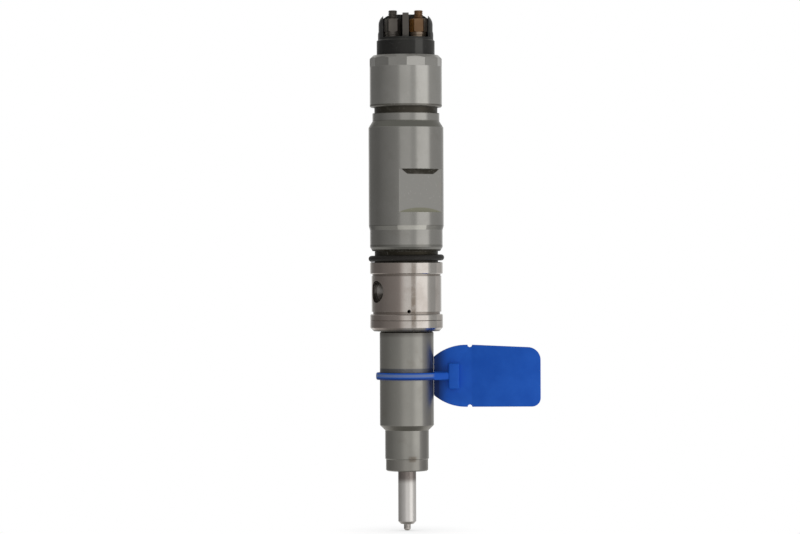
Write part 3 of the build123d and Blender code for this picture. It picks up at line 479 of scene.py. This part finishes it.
def barrel_zones(tree):
    """Ground lands, brown runs, milled flats, dark grooves, and painted shade and highlight."""
    height, reach, turn, place = axis_places(tree)
    ground = band(tree, height, *lands, 0.1 * mm)
    brown = maths(tree, "MULTIPLY", ground, use_group(tree, clouds, Size=9 * mm, Low=0.42,
                                                      High=0.66))
    # painted shade: the lands are darker on the right, and brown and darker on the left, a brown
    # stain as well as shade
    left_brown_and_shade = maths(tree, "MULTIPLY", band(tree, turn, -60, -12, 12), ground)
    right_shade = maths(tree, "MULTIPLY", band(tree, turn, 38, 54, 3), ground)
    run = maths(tree, "MULTIPLY", band(tree, turn, 9, 13.5, 2.5), ground)
    ragged = use_group(tree, clouds, Size=3 * mm, Low=0.25, High=0.6)
    run = maths(tree, "MULTIPLY", run, ragged)
    run = maths(tree, "MULTIPLY", run, remap(tree, height, 80 * mm, 60 * mm, 0.6, 1.0))
    lines = maths(tree, "MAXIMUM", band(tree, height, *upper_line, 0.1 * mm),
                  band(tree, height, *lower_line, 0.1 * mm))
    scribe = band(tree, height, *scribed_line, 0.08 * mm)
    lines = maths(tree, "MAXIMUM", lines, scribe)
    foot = remap(tree, height, 55.4 * mm, 54.6 * mm)
    milled, painted_ledge_shading, sill = milled_flats(tree, height, place)
    # the O-ring groove is dark with oil and with painted shade
    oil_and_shade = maths(tree, "MULTIPLY", band(tree, height, *o_ring_groove, 0.1 * mm),
                 remap(tree, reach, 13.7 * mm, 13.5 * mm))
    # above the barrel's neck the thread relief is painted dark: phosphate tone and painted shade
    relief = remap(tree, height, 138.9 * mm, 139.1 * mm)
    # painted shade on the upward-facing top cone, standing in for the dim reflection it gets
    top_cone_shade = band(tree, height, *top_cone, 0.3 * mm)
    # painted shade inside the inlet hole, and painted light on its cone seat
    inlet_shade = maths(tree, "MULTIPLY", band(tree, height, *inlet_hole, 0.1 * mm),
                  remap(tree, reach, 13.5 * mm, 13.0 * mm))
    inlet_seat_light = maths(tree, "MULTIPLY", band(tree, height, *inlet_cone, 0.6 * mm), inlet_shade)
    # painted shade on the lower chamfer, and a painted highlight on its front
    chamfer_shading = band(tree, height, *chamfer_span, 0.1 * mm)
    bright = maths(tree, "MULTIPLY", chamfer_shading, band(tree, turn, -12, 31, 3))
    hem = band(tree, height, *hem_span, 0.1 * mm)
    return [(ground, (0.75, 0.70, 0.655), 0.14),
            (maths(tree, "MULTIPLY", brown, 0.3), (0.42, 0.345, 0.295), 0.22),
            (maths(tree, "MULTIPLY", left_brown_and_shade, 0.85), (0.41, 0.345, 0.31), 0.22),
            (maths(tree, "MULTIPLY", right_shade, 0.8), (0.52, 0.50, 0.47), 0.2),
            (maths(tree, "MULTIPLY", run, 0.95), (0.36, 0.295, 0.24), 0.3),
            (maths(tree, "MULTIPLY", lines, 0.65), (0.22, 0.18, 0.15), 0.3),
            (foot, (0.16, 0.15, 0.13), 0.35),
            (milled, (0.275, 0.27, 0.255), 0.28),
            (sill, (0.225, 0.222, 0.17), 0.3),
            (painted_ledge_shading, (0.048, 0.044, 0.036), 0.4),
            (maths(tree, "MULTIPLY", chamfer_shading, 0.8), (0.24, 0.235, 0.215), 0.25),
            (bright, (0.49, 0.48, 0.44), 0.25),
            (maths(tree, "MULTIPLY", hem, 0.8), (0.24, 0.235, 0.215), 0.3),
            (top_cone_shade, (0.28, 0.275, 0.245), 0.3),
            (inlet_shade, (0.17, 0.155, 0.14), 0.35),
            (maths(tree, "MULTIPLY", inlet_seat_light, 0.7), (0.42, 0.40, 0.38), 0.5),
            (oil_and_shade, (0.045, 0.040, 0.030), 0.4),
            (relief, (0.075, 0.068, 0.055), 0.4)]


barrel_steel = steel("barrel_steel", (0.435, 0.425, 0.40), (0.40, 0.392, 0.365),
                     (0.31, 0.29, 0.26), 0.21, 0.0012 * mm, 0.3 * mm, stain=0.25,
                     zones=barrel_zones)
print("barrel finished in", len(barrel_steel.node_tree.nodes), "shader nodes")

# %% [markdown]
# ### The other steels
#
# The same function makes them all, from other tones. The nozzle nut is the dullest, the nozzle the
# brightest, and the inner parts are clean.


# %% Cap nut, nozzle nut and nozzle
def cap_zones(tree):
    """Old oil and painted shade round the lower rim, and grime under the wrench flats."""
    height = axis_places(tree)[0]
    # the lower rim is darkened: old oil and painted shade
    rim = remap(tree, height, 142.75 * mm, 142.45 * mm)
    dirt_and_shade = maths(tree, "MULTIPLY", remap(tree, height, 160 * mm, 161.5 * mm),
                 use_group(tree, clouds, Size=4 * mm, Low=0.4, High=0.6))
    return [(maths(tree, "MULTIPLY", rim, 0.8), (0.15, 0.14, 0.12), 0.35),
            (maths(tree, "MULTIPLY", dirt_and_shade, 0.5), (0.25, 0.23, 0.21), 0.3)]


def nozzle_nut_zones(tree):
    """Painted shoulder shade and strap reflection, a brown smudge and a shaded right side."""
    height, _, turn, _ = axis_places(tree)
    lower = remap(tree, height, 4.7 * mm, 4.3 * mm)
    # painted shade on the shoulder's step
    shoulder_shade = band(tree, height, 15.9 * mm, 17.7 * mm, 0.1 * mm)
    smudge = maths(tree, "MULTIPLY", band(tree, height, 4.4 * mm, 5.2 * mm, 1.2 * mm),
                   band(tree, turn, 10, 20, 10))
    # painted reflection of the blue strap, just above it on the nut
    strap_reflection = band(tree, height, 38.1 * mm, 39.7 * mm, 0.5 * mm)
    right_shade = band(tree, turn, 38, 62, 5)
    under_barrel = remap(tree, height, 51.6 * mm, 53.4 * mm)
    return [(maths(tree, "MULTIPLY", lower, 0.4), (0.36, 0.34, 0.31), 0.36),
            (maths(tree, "MULTIPLY", right_shade, 0.8), (0.27, 0.262, 0.25), 0.36),
            (shoulder_shade, (0.30, 0.285, 0.255), 0.36),
            (maths(tree, "MULTIPLY", strap_reflection, 0.75), (0.085, 0.095, 0.125), 0.4),
            (maths(tree, "MULTIPLY", smudge, 0.75), (0.19, 0.155, 0.12), 0.45),
            (maths(tree, "MULTIPLY", under_barrel, 0.6), (0.17, 0.16, 0.145), 0.4)]


def nozzle_zones(tree):
    """Heat colours the root of the shank brown, and the tip stays dull."""
    height = axis_places(tree)[0]
    heat = band(tree, height, -2.6 * mm, 0.2 * mm, 2.6 * mm)
    tip = remap(tree, height, -19.2 * mm, -20.2 * mm)
    return [(maths(tree, "MULTIPLY", heat, 0.85), (0.22, 0.18, 0.165), 0.3),
            (maths(tree, "MULTIPLY", tip, 0.7), (0.42, 0.38, 0.34), 0.35)]


cap_steel = steel("satin_cap_steel", (0.52, 0.51, 0.48), (0.47, 0.46, 0.43), (0.34, 0.32, 0.28),
                  0.20, 0.0012 * mm, 0.3 * mm, stain=0.2, zones=cap_zones)
nozzle_nut_steel = steel("plated_nut_steel", (0.43, 0.42, 0.385), (0.385, 0.375, 0.345),
                         (0.28, 0.25, 0.21), 0.35, 0.0015 * mm, 0.25 * mm, stain=0.3,
                         zones=nozzle_nut_zones)
nozzle_steel = steel("bright_nozzle_steel", (0.90, 0.87, 0.84), (0.82, 0.79, 0.755),
                     (0.55, 0.47, 0.40), 0.34, 0.001 * mm, 0.2 * mm, stain=0.4,
                     zones=nozzle_zones)
print("outer steels:", cap_steel.name, nozzle_nut_steel.name, nozzle_steel.name)

# %% [markdown]
# The pieces inside are ground bright, and the magnet is dull pressed iron. One terminal is copper
# plated and the other is tarnished. Both are worn on their outer sides and carry a painted
# highlight there.

# %% Inner steels and the other metals
inner_steel = steel("ground_inner_steel", (0.60, 0.60, 0.59), (0.52, 0.52, 0.51),
                    (0.40, 0.38, 0.36), 0.25, 0.001 * mm, 0.1 * mm)
spring_steel = steel("spring_wire", (0.42, 0.42, 0.43), (0.34, 0.34, 0.35),
                     (0.25, 0.24, 0.22), 0.40, 0.002 * mm, 0.3 * mm)
magnet_iron = steel("magnet_iron", (0.33, 0.33, 0.34), (0.27, 0.27, 0.28),
                    (0.20, 0.19, 0.18), 0.55, 0.004 * mm, 0.2 * mm)
winding_copper = steel("winding_copper", (0.72, 0.33, 0.17), (0.60, 0.26, 0.13),
                       (0.42, 0.18, 0.10), 0.35, 0.08 * mm, 0.35 * mm)


def copper_zones(tree):
    """Bare copper by the rib, a worn grey far side with painted highlight, a painted ledge
    highlight.
    """
    height, _, _, place = axis_places(tree)
    across = add_node(tree, "SeparateXYZ", {0: place}).outputs["X"]
    red_side = remap(tree, across, 3.5 * mm, 2.9 * mm)
    # painted highlight: the outer side is worn to grey and painted lighter
    worn_highlight_side = remap(tree, across, 6.9 * mm, 7.4 * mm)
    # painted highlight on the ledge of the collar and washer
    painted_ledge_shading = band(tree, height, 168.6 * mm, 170.9 * mm, 0.1 * mm)
    return [(red_side, (0.80, 0.40, 0.12), 0.5),
            (worn_highlight_side, (0.85, 0.74, 0.62), 0.5),
            (painted_ledge_shading, (0.46, 0.36, 0.27), 0.28)]


def brass_zones(tree):
    """The outer side is worn, with a painted highlight."""
    place = axis_places(tree)[3]
    across = add_node(tree, "SeparateXYZ", {0: place}).outputs["X"]
    # painted highlight on the outer side, together with wear
    return [(remap(tree, across, -6.9 * mm, -7.4 * mm), (0.70, 0.66, 0.60), 0.5)]


worn_copper = steel("worn_copper_plating", (0.33, 0.20, 0.11), (0.25, 0.14, 0.07),
                    (0.12, 0.07, 0.035), 0.38, 0.002 * mm, 0.2 * mm, stain=0.6, wear=0.8,
                    metallic=0.6, zones=copper_zones)
dark_brass = steel("tarnished_brass", (0.20, 0.18, 0.16), (0.14, 0.125, 0.11),
                   (0.07, 0.06, 0.05), 0.42, 0.002 * mm, 0.2 * mm, stain=0.6, wear=0.7,
                   metallic=0.6, zones=brass_zones)
print("terminals:", dark_brass.name, "on the left,", worn_copper.name, "on the right")

# %% [markdown]
# ## Plastic and rubber
#
# A moulding mixes two close tones and has a fine grained skin that breaks up its highlight. Its
# corners and scratches are paler. It takes zones too, each a mask with a tone.


# %% Plastic and rubber
def moulded(name, tone, other_tone, roughness, grain_size, grain_depth, scuff=0.25, gloss=0.5,
            zones=None):
    """A moulded plastic or rubber, mottled, lightly scuffed and with a fine skin."""
    material, tree, shader = new_material(name)
    shader.inputs["Specular IOR Level"].default_value = gloss
    mottled = use_group(tree, clouds, Size=9 * mm, Low=0.3, High=0.7)
    base = blend_colours(tree, mottled, tone, other_tone)
    for mask, zone_tone in (zones(tree) if zones else ()):
        base = blend_colours(tree, mask, base, zone_tone)
    corners = use_group(tree, worn_corners, Radius=0.3 * mm, Breaks=3 * mm)
    marks = use_group(tree, scratches, Length=4 * mm, Width=0.1 * mm, Turn=0.9, Rarity=0.66)
    scuffed = maths(tree, "MULTIPLY", maths(tree, "MAXIMUM", corners, marks), scuff)
    pale = tuple(part + (1 - part) * 0.25 for part in other_tone)
    base = blend_colours(tree, scuffed, base, pale)
    tree.links.new(base, shader.inputs["Base Color"])
    dull = maths(tree, "MULTIPLY_ADD", mottled, 0.12, roughness - 0.06)
    tree.links.new(dull, shader.inputs["Roughness"])
    bumped(tree, shader, use_group(tree, grain, Size=grain_size), grain_depth, 0.15 * mm)
    return material


def block_zones(tree):
    """Dust on the rib between the terminals and on ledges, a painted highlight strip in front."""
    place = add_node(tree, "TexCoord").outputs["Object"]
    parts = add_node(tree, "SeparateXYZ", {0: place}).outputs
    rib = maths(tree, "MULTIPLY", band(tree, parts["X"], -1.3 * mm, 1.3 * mm, 0.1 * mm),
                remap(tree, parts["Z"], 168.5 * mm, 169.5 * mm))
    patchy = use_group(tree, clouds, Size=3 * mm, Low=0.2, High=0.6)
    upward = add_node(tree, "SeparateXYZ",
                      {0: add_node(tree, "NewGeometry").outputs["Normal"]}).outputs["Z"]
    dusty = maths(tree, "MULTIPLY", remap(tree, upward, 0.4, 0.9), patchy)
    # painted highlight: a paler upright strip on the front, below the bay
    front_highlight_strip = maths(tree, "MULTIPLY", band(tree, parts["X"], 4.1 * mm, 6.2 * mm, 0.8 * mm),
                      remap(tree, parts["Z"], 168.4 * mm, 167.9 * mm))
    front_highlight_strip = maths(tree, "MULTIPLY", front_highlight_strip, remap(tree, parts["Y"], -4 * mm, -8 * mm))
    return [(maths(tree, "MULTIPLY", rib, 0.8), (0.13, 0.115, 0.10)),
            (maths(tree, "MULTIPLY", front_highlight_strip, 0.8), (0.08, 0.078, 0.072)),
            (maths(tree, "MULTIPLY", dusty, 0.35), (0.16, 0.15, 0.13))]


tag_height = 36.9 * mm                          # the middle of the seal tag's strap and flag


def tag_zones(tree):
    """A painted highlight along the strap, painted shade below it and on the flag by the nut."""
    height, reach, _, _ = axis_places(tree)
    strap = remap(tree, reach, 12.9 * mm, 12.4 * mm)
    # painted highlight along the middle of the strap
    middle = band(tree, height, tag_height, tag_height + 0.6 * mm, 0.5 * mm)
    strap_highlight = maths(tree, "MULTIPLY", strap, middle)
    # painted shade on the strap's lower part
    below = remap(tree, height, tag_height - 0.4 * mm, tag_height - 0.9 * mm)
    lower = maths(tree, "MULTIPLY", strap, below)
    # painted shade on the flag where it meets the nut
    dirt_and_shade = remap(tree, reach, 16.5 * mm, 11.5 * mm)
    upright = maths(tree, "ABSOLUTE", maths(tree, "SUBTRACT", height, tag_height))
    dirt_and_shade = maths(tree, "MULTIPLY", dirt_and_shade, remap(tree, upright, 1.5 * mm, 1.9 * mm))
    return [(maths(tree, "MULTIPLY", strap_highlight, 0.8), (0.22, 0.30, 0.52)),
            (maths(tree, "MULTIPLY", lower, 0.7), (0.015, 0.03, 0.13)),
            (maths(tree, "MULTIPLY", dirt_and_shade, 0.85), (0.004, 0.018, 0.10))]


black_plastic = moulded("black_moulding", (0.010, 0.0097, 0.009), (0.020, 0.019, 0.0165), 0.34,
                        0.25 * mm, 0.01 * mm, gloss=0.4, zones=block_zones)
blue_plastic = moulded("blue_moulding", (0.008, 0.11, 0.62), (0.015, 0.135, 0.69), 0.42,
                       0.4 * mm, 0.01 * mm, scuff=0.05, gloss=0.2, zones=tag_zones)
pale_blue_plastic = moulded("pale_blue_moulding", (0.025, 0.15, 0.73), (0.03, 0.16, 0.78), 0.40,
                            0.4 * mm, 0.01 * mm, scuff=0.05, gloss=0.25)
black_rubber = moulded("black_rubber", (0.0095, 0.0078, 0.006), (0.017, 0.0145, 0.012), 0.5,
                       0.2 * mm, 0.005 * mm, gloss=0.4)
bobbin_plastic = moulded("bobbin_moulding", (0.60, 0.52, 0.36), (0.66, 0.58, 0.42), 0.45,
                         0.3 * mm, 0.01 * mm)
ceramic = moulded("ceramic_ball", (0.03, 0.03, 0.033), (0.04, 0.04, 0.044), 0.12, 0.1 * mm,
                  0.001 * mm, scuff=0)
print("plastic and rubber:", black_plastic.name, blue_plastic.name, black_rubber.name)

# %% [markdown]
# ## Finishing the design nodes
#
# Each node takes one of these finishes in place of the plain one that it came with.

# %% Every design node gets its finish
finishes = {
    cap_steel: ["solenoid_nut"],
    barrel_steel: ["injector_body"],
    nozzle_nut_steel: ["retaining_nut"],
    nozzle_steel: ["nozzle_body"],
    inner_steel: ["nozzle_needle", "adapter_plate", "locating_pins", "spring_seat", "preload_shim",
                  "control_piston", "valve_piece", "valve_seal_ring", "valve_clamp_screw",
                  "ball_holder", "armature_bolt", "armature_guide", "stop_washer", "lift_shim",
                  "spring_shim", "magnet_sleeve"],
    spring_steel: ["nozzle_spring", "armature_spring", "valve_spring"],
    magnet_iron: ["armature_plate", "magnet_core"],
    winding_copper: ["coil_winding"],
    bobbin_plastic: ["coil_bobbin"],
    ceramic: ["valve_ball"],
    black_rubber: ["body_o_ring", "solenoid_o_ring"],
    black_plastic: ["terminal_block"],
    dark_brass: ["left_terminal_stud", "left_terminal_washer", "left_terminal_nut"],
    worn_copper: ["right_terminal_stud", "right_terminal_washer", "right_terminal_nut"],
    blue_plastic: ["seal_tag"],
    pale_blue_plastic: ["tag_lock_insert"],
}
for material, names in finishes.items():
    for name in names:
        node_mesh = nodes[name].data
        node_mesh.materials.clear()
        node_mesh.materials.append(material)
print(sum(len(names) for names in finishes.values()), "nodes finished")

# %% [markdown]
# ## New pieces
#
# Four design nodes get a new mesh, because their small detail shows: the two threaded studs, the
# O-ring, which sits a little askew in its groove, and the seal tag, whose edges are round. Two
# springs get one as well, a copy of their design mesh. Each new piece is modelled in place and
# takes its finish. The studs, the O-ring and the tag move with a body; the springs stay where they
# are.


# %% A helper that finishes a piece
def finish_piece(name, shape, node, body, material, sharp=35, pressed_by=None):
    """Merge doubles, turn the faces outward and hand the piece over in place of its node.

    With pressed_by, the piece keeps its place, with its transform baked in, and goes with no body.
    """
    bmesh.ops.remove_doubles(shape, verts=shape.verts, dist=0.0005 * mm)
    bmesh.ops.recalc_face_normals(shape, faces=shape.faces)
    made = bpy.data.meshes.new(name)
    shape.to_mesh(made)
    shape.free()
    made.shade_smooth()
    made.set_sharp_from_angle(angle=radians(sharp))
    made.materials.append(material)
    piece = bpy.data.objects.new(name, made)
    bpy.context.scene.collection.objects.link(piece)
    if pressed_by:
        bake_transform(piece)
    else:
        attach(piece, body)
    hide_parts(node)
    made.calc_loop_triangles()
    print(f"{name}: {len(made.loop_triangles)} triangles")
    return piece


def spun(points, steps):
    """A closed solid: (radius, height) points joined in a line and spun once round the axis."""
    shape = bmesh.new()
    line = [shape.verts.new((radius, 0, height)) for radius, height in points]
    edges = [shape.edges.new(pair) for pair in zip(line, line[1:])]
    bmesh.ops.spin(shape, geom=line + edges, cent=(0, 0, 0), axis=(0, 0, 1), angle=2 * pi,
                   steps=steps, use_merge=True)
    bmesh.ops.remove_doubles(shape, verts=shape.verts, dist=0.0005 * mm)
    return shape


# %% [markdown]
# ### Threaded studs
#
# A screw thread is a groove that climbs one pitch in each turn. The stud is first spun as a plain
# rod with many rings of points, eight to a pitch. Then each point moves inward by how deep the
# groove is at its own height and direction.

# %% Threaded studs
pin_radius, pin_top = 0.6 * mm, 157 * mm
collar_radius, collar_bottom, collar_top = 3.2 * mm, 168.7 * mm, 169.8 * mm
edge_break, tip_chamfer = 0.1 * mm, 0.3 * mm
stud_radius, thread_pitch, thread_depth = 1.75 * mm, 0.6 * mm, 0.34 * mm
thread_bottom, thread_top = 169.95 * mm, 179.1 * mm
rows = round((thread_top - thread_bottom) / (thread_pitch / 8))


def threaded_stud(side, x, material):
    """A thin contact pin, a collar on the block and a threaded end, all turned round one axis."""
    node = f"{side}_terminal_stud"
    foot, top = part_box(node)[0].z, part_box(node)[1].z
    line = [(0, foot), (pin_radius, foot), (pin_radius, pin_top), (stud_radius, pin_top),
            (stud_radius, collar_bottom), (collar_radius - edge_break, collar_bottom),
            (collar_radius, collar_bottom + edge_break), (collar_radius, collar_top - edge_break),
            (collar_radius - edge_break, collar_top), (stud_radius, collar_top)]
    line += [(stud_radius, thread_bottom + (thread_top - thread_bottom) * row / rows)
             for row in range(rows + 1)]
    line += [(stud_radius - tip_chamfer, top), (0, top)]
    shape = spun(line, 48)
    for point in shape.verts:
        height = point.co.z
        if hypot(point.co.x, point.co.y) < stud_radius * 0.99:
            continue
        if not thread_bottom <= height <= thread_top:
            continue
        turn = atan2(point.co.y, point.co.x) / (2 * pi)
        phase = (height / thread_pitch - turn) % 1
        groove = min(1.0, abs(phase - 0.5) * 2.6)
        run_out = min(1.0, (height - thread_bottom) / thread_pitch)
        radius = stud_radius - thread_depth * (1 - groove) * run_out
        point.co.x *= radius / stud_radius
        point.co.y *= radius / stud_radius
    bmesh.ops.translate(shape, verts=shape.verts, vec=(x, 0, 0))
    return finish_piece(f"{side}_stud_threaded", shape, node, "injector", material, 50)


threaded_stud("left", -5 * mm, dark_brass)
threaded_stud("right", 5 * mm, worn_copper)

# %% [markdown]
# ### O-ring
#
# The ring has been rolled on by hand. It lies low in its groove and 1 degree askew, lower on the
# left.

# %% O-ring
ring_radius, ring_thick, ring_height = 13.55 * mm, 1.2 * mm, 82.85 * mm
shape = bmesh.new()
made = bmesh.ops.create_circle(shape, segments=20, radius=ring_thick)
upright = Matrix.Translation((ring_radius, 0, 0)) @ Matrix.Rotation(radians(90), 4, "X")
bmesh.ops.transform(shape, matrix=upright, verts=made["verts"])
bmesh.ops.spin(shape, geom=shape.verts[:] + shape.edges[:], cent=(0, 0, 0), axis=(0, 0, 1),
               angle=2 * pi, steps=128, use_merge=True)
askew = Matrix.Translation((0, 0, ring_height)) @ Matrix.Rotation(radians(-1), 4, "Y")
bmesh.ops.transform(shape, matrix=askew, verts=shape.verts)
finish_piece("body_o_ring_seated", shape, "body_o_ring", "injector", black_rubber)

# %% [markdown]
# ### Seal tag
#
# The tag is one moulding: a flat flag, a strap looped round the nozzle nut, and a lock box on the
# front of the flag that the strap's end enters. The flag's outline is drawn, filled and extruded,
# and its edges are bevelled. The strap's section has a domed outer side, so it catches the light
# along its middle. The section is spun round the nut, then its front end is extruded straight
# towards the lock.

# %% Flag
flag_front, flag_back = -0.6 * mm, 0.6 * mm
neck_x, full_x, end_x = 10.55 * mm, 23.0 * mm, 52.2 * mm
neck_half, full_half = 7.5 * mm, 12.1 * mm
notch_x, notch_radius = 24.6 * mm, 0.9 * mm
lead, rise = full_x - neck_x, full_half - neck_half
sweep_radius = (lead ** 2 + rise ** 2) / (2 * rise)
sweep_turn = asin(lead / sweep_radius)


def arc(centre_x, centre_z, radius, start, end, steps):
    """Points on an arc, with angles in radians from +X towards +Z."""
    turns = [start + (end - start) * step / steps for step in range(steps + 1)]
    return [(centre_x + radius * cos(turn), centre_z + radius * sin(turn)) for turn in turns]


def flag_edge(corner, drop):
    """Half of the flag's outline, from neck to end. The end of the edge lies lower by the drop."""
    edge = arc(full_x, full_half - sweep_radius, sweep_radius, pi / 2 + sweep_turn, pi / 2, 20)
    edge += arc(notch_x, full_half, notch_radius, pi, 2 * pi, 12)
    return edge + arc(end_x - corner, full_half - drop - corner, corner, pi / 2, 0, 10)


lower_edge = flag_edge(3.4 * mm, 0)
outline = flag_edge(5.0 * mm, 1.0 * mm) + [(x, -z) for x, z in reversed(lower_edge)]
tag = bmesh.new()
corners = [tag.verts.new((x, flag_back, tag_height + z)) for x, z in outline]
back = tag.faces.new(corners)
front = bmesh.ops.extrude_face_region(tag, geom=[back], use_keep_orig=True)["geom"]
moved = [item for item in front if isinstance(item, bmesh.types.BMVert)]
bmesh.ops.translate(tag, verts=moved, vec=(0, flag_front - flag_back, 0))
bmesh.ops.recalc_face_normals(tag, faces=tag.faces)
rim = [edge for edge in tag.edges if abs(edge.verts[0].co.y - edge.verts[1].co.y) < 0.01 * mm]
bmesh.ops.bevel(tag, geom=rim, offset=0.22 * mm, segments=2, affect="EDGES", profile=0.5,
                material=-1, clamp_overlap=True)
print(f"flag outline of {len(outline)} points")

# %% [markdown]
# The strap leaves its loop along a tangent and runs straight into the lock box. The box's place is
# known, so the direction in which the loop has to start is worked out from it.

# %% Strap
bore, outer = 10.9 * mm, 12.0 * mm
strap_section = [(bore, -1.25), (bore + 0.12 * mm, -1.4), (outer - 0.42 * mm, -1.4),
                 (outer - 0.24 * mm, -1.28), (outer - 0.10 * mm, -0.95), (outer - 0.02 * mm, -0.5)]
strap_section = [(radius, height * mm) for radius, height in strap_section]
strap_section += [(radius, -height) for radius, height in reversed(strap_section)]
entry_x, entry_y = 16.7 * mm, -1.8 * mm
mean_radius = (bore + outer) / 2
loop_start = atan2(entry_y, entry_x) - acos(mean_radius / hypot(entry_x, entry_y))
loop_turn = radians(-358) - loop_start
strap = bmesh.new()
ring = [strap.verts.new((cos(loop_start) * radius, sin(loop_start) * radius, tag_height + height))
        for radius, height in strap_section]
ring_edges = [strap.edges.new(pair) for pair in zip(ring, ring[1:] + ring[:1])]
bmesh.ops.spin(strap, geom=ring + ring_edges, cent=(0, 0, 0), axis=(0, 0, 1), angle=loop_turn,
               steps=120)
straight = bmesh.ops.extrude_edge_only(strap, edges=ring_edges)["geom"]
run = Vector((entry_x - cos(loop_start) * mean_radius, entry_y - sin(loop_start) * mean_radius, 0))
moved = [item for item in straight if isinstance(item, bmesh.types.BMVert)]
bmesh.ops.translate(strap, verts=moved, vec=run)
open_edges = [edge for edge in strap.edges if edge.is_boundary]
bmesh.ops.holes_fill(strap, edges=open_edges, sides=0)
print(f"strap loop turns {degrees(loop_turn):.0f} degrees, run of {run.length / mm:.1f} mm")

# %% [markdown]
# The lock box starts as a cube. Its upright and front edges are rounded, then its front face is
# inset and pushed in, which makes the pocket for the insert.

# %% Lock box
lock_size = Vector((4.2, 2.6, 10.0)) * mm
lock_middle = Vector((18.3 * mm, -1.7 * mm, tag_height))
pocket_half, pocket_depth = 3.8 * mm, 1.2 * mm
lock = bmesh.new()
bmesh.ops.create_cube(lock, size=1)
bmesh.ops.scale(lock, vec=lock_size, verts=lock.verts)
bmesh.ops.translate(lock, vec=lock_middle, verts=lock.verts)
lock_back = max(vert.co.y for vert in lock.verts)
shown = [edge for edge in lock.edges
         if min(vert.co.y for vert in edge.verts) < lock_back - 0.01 * mm]
bmesh.ops.bevel(lock, geom=shown, offset=0.55 * mm, segments=3, affect="EDGES", profile=0.5,
                material=-1)
face = min(lock.faces, key=lambda each: each.calc_center_median().y - each.calc_area() * 1000)
bmesh.ops.inset_region(lock, faces=[face], thickness=0.35 * mm, use_even_offset=True)
for vert in face.verts:
    vert.co.z = lock_middle.z + (pocket_half if vert.co.z > lock_middle.z else -pocket_half)
bottom = bmesh.ops.extrude_face_region(lock, geom=[face])["geom"]
moved = [item for item in bottom if isinstance(item, bmesh.types.BMVert)]
bmesh.ops.translate(lock, verts=moved, vec=(0, pocket_depth, 0))
print(f"lock box {lock_size.z / mm:.0f} mm tall, with a pocket {pocket_depth / mm:.1f} mm deep")

# %% [markdown]
# The three parts are one moulding, so their meshes are joined and handed over as one piece.

# %% Join the tag's three parts
for part in (strap, lock):
    bmesh.ops.recalc_face_normals(part, faces=part.faces)
    carrier = bpy.data.meshes.new("carrier")
    part.to_mesh(carrier)
    part.free()
    tag.from_mesh(carrier)
    bpy.data.meshes.remove(carrier)
finish_piece("seal_tag_rounded", tag, "seal_tag", "tag", blue_plastic, 50)

# %% [markdown]
# ### Springs
#
# The nozzle spring is pressed by the rising needle, and the valve spring by the rising valve. Each
# keeps its design shape and stays where it is, with no body to move it.

# %% Springs
for node, pressed_by in (("nozzle_spring", "needle_train"), ("valve_spring", "valve_train")):
    coil = bmesh.new()
    coil.from_mesh(nodes[node].data)
    finish_piece(node + "_pressed", coil, node, "injector", spring_steel, 50,
                 pressed_by)
